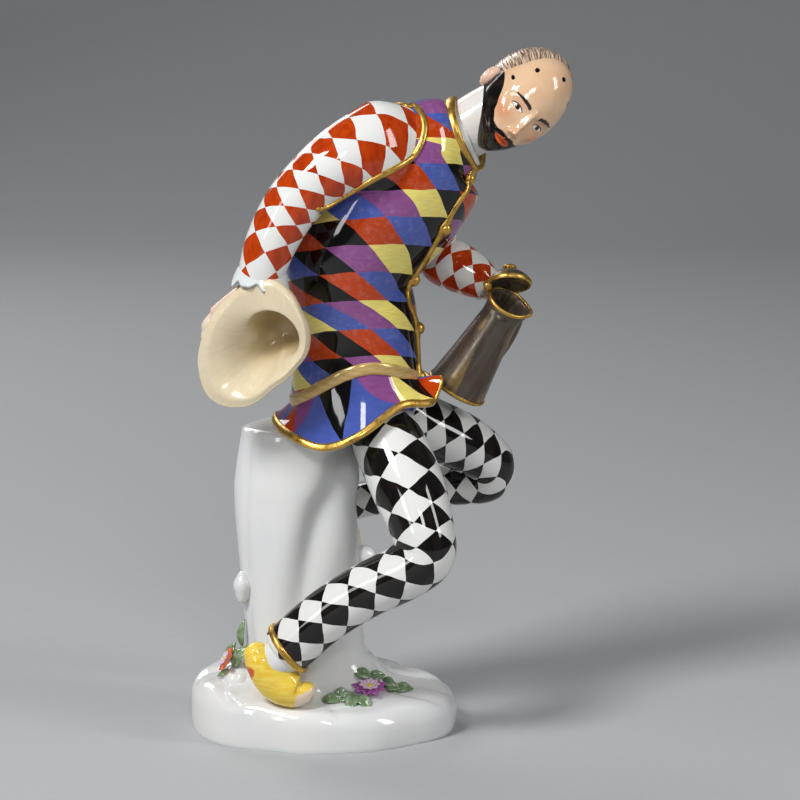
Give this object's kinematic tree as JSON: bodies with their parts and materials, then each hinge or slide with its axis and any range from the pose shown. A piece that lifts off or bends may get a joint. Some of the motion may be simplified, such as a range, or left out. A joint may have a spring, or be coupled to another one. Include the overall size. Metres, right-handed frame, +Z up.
{
  "type": "porcelain figure",
  "caption": "Commedia dell'arte figure in lozenge costume, perched on a tree stump with a felt hat in one hand and a lidded tankard in the other",
  "frame": {"origin": "middle of the underside of the base, on the surface that the figure stands on", "axes": "+Z up, -Y to the front that the face looks to, +X to the viewer's right, where the head leans"},
  "size_m": [0.0893, 0.0553, 0.162],
  "materials": {
    "porcelain": "clear gloss glaze over white porcelain",
    "enamel": "hand-painted overglaze enamel colours, glossy",
    "gilding": "burnished gold on glaze"
  },
  "bodies": {
    "root": {"commedia_figure": "porcelain"}
  },
  "joints": []
}
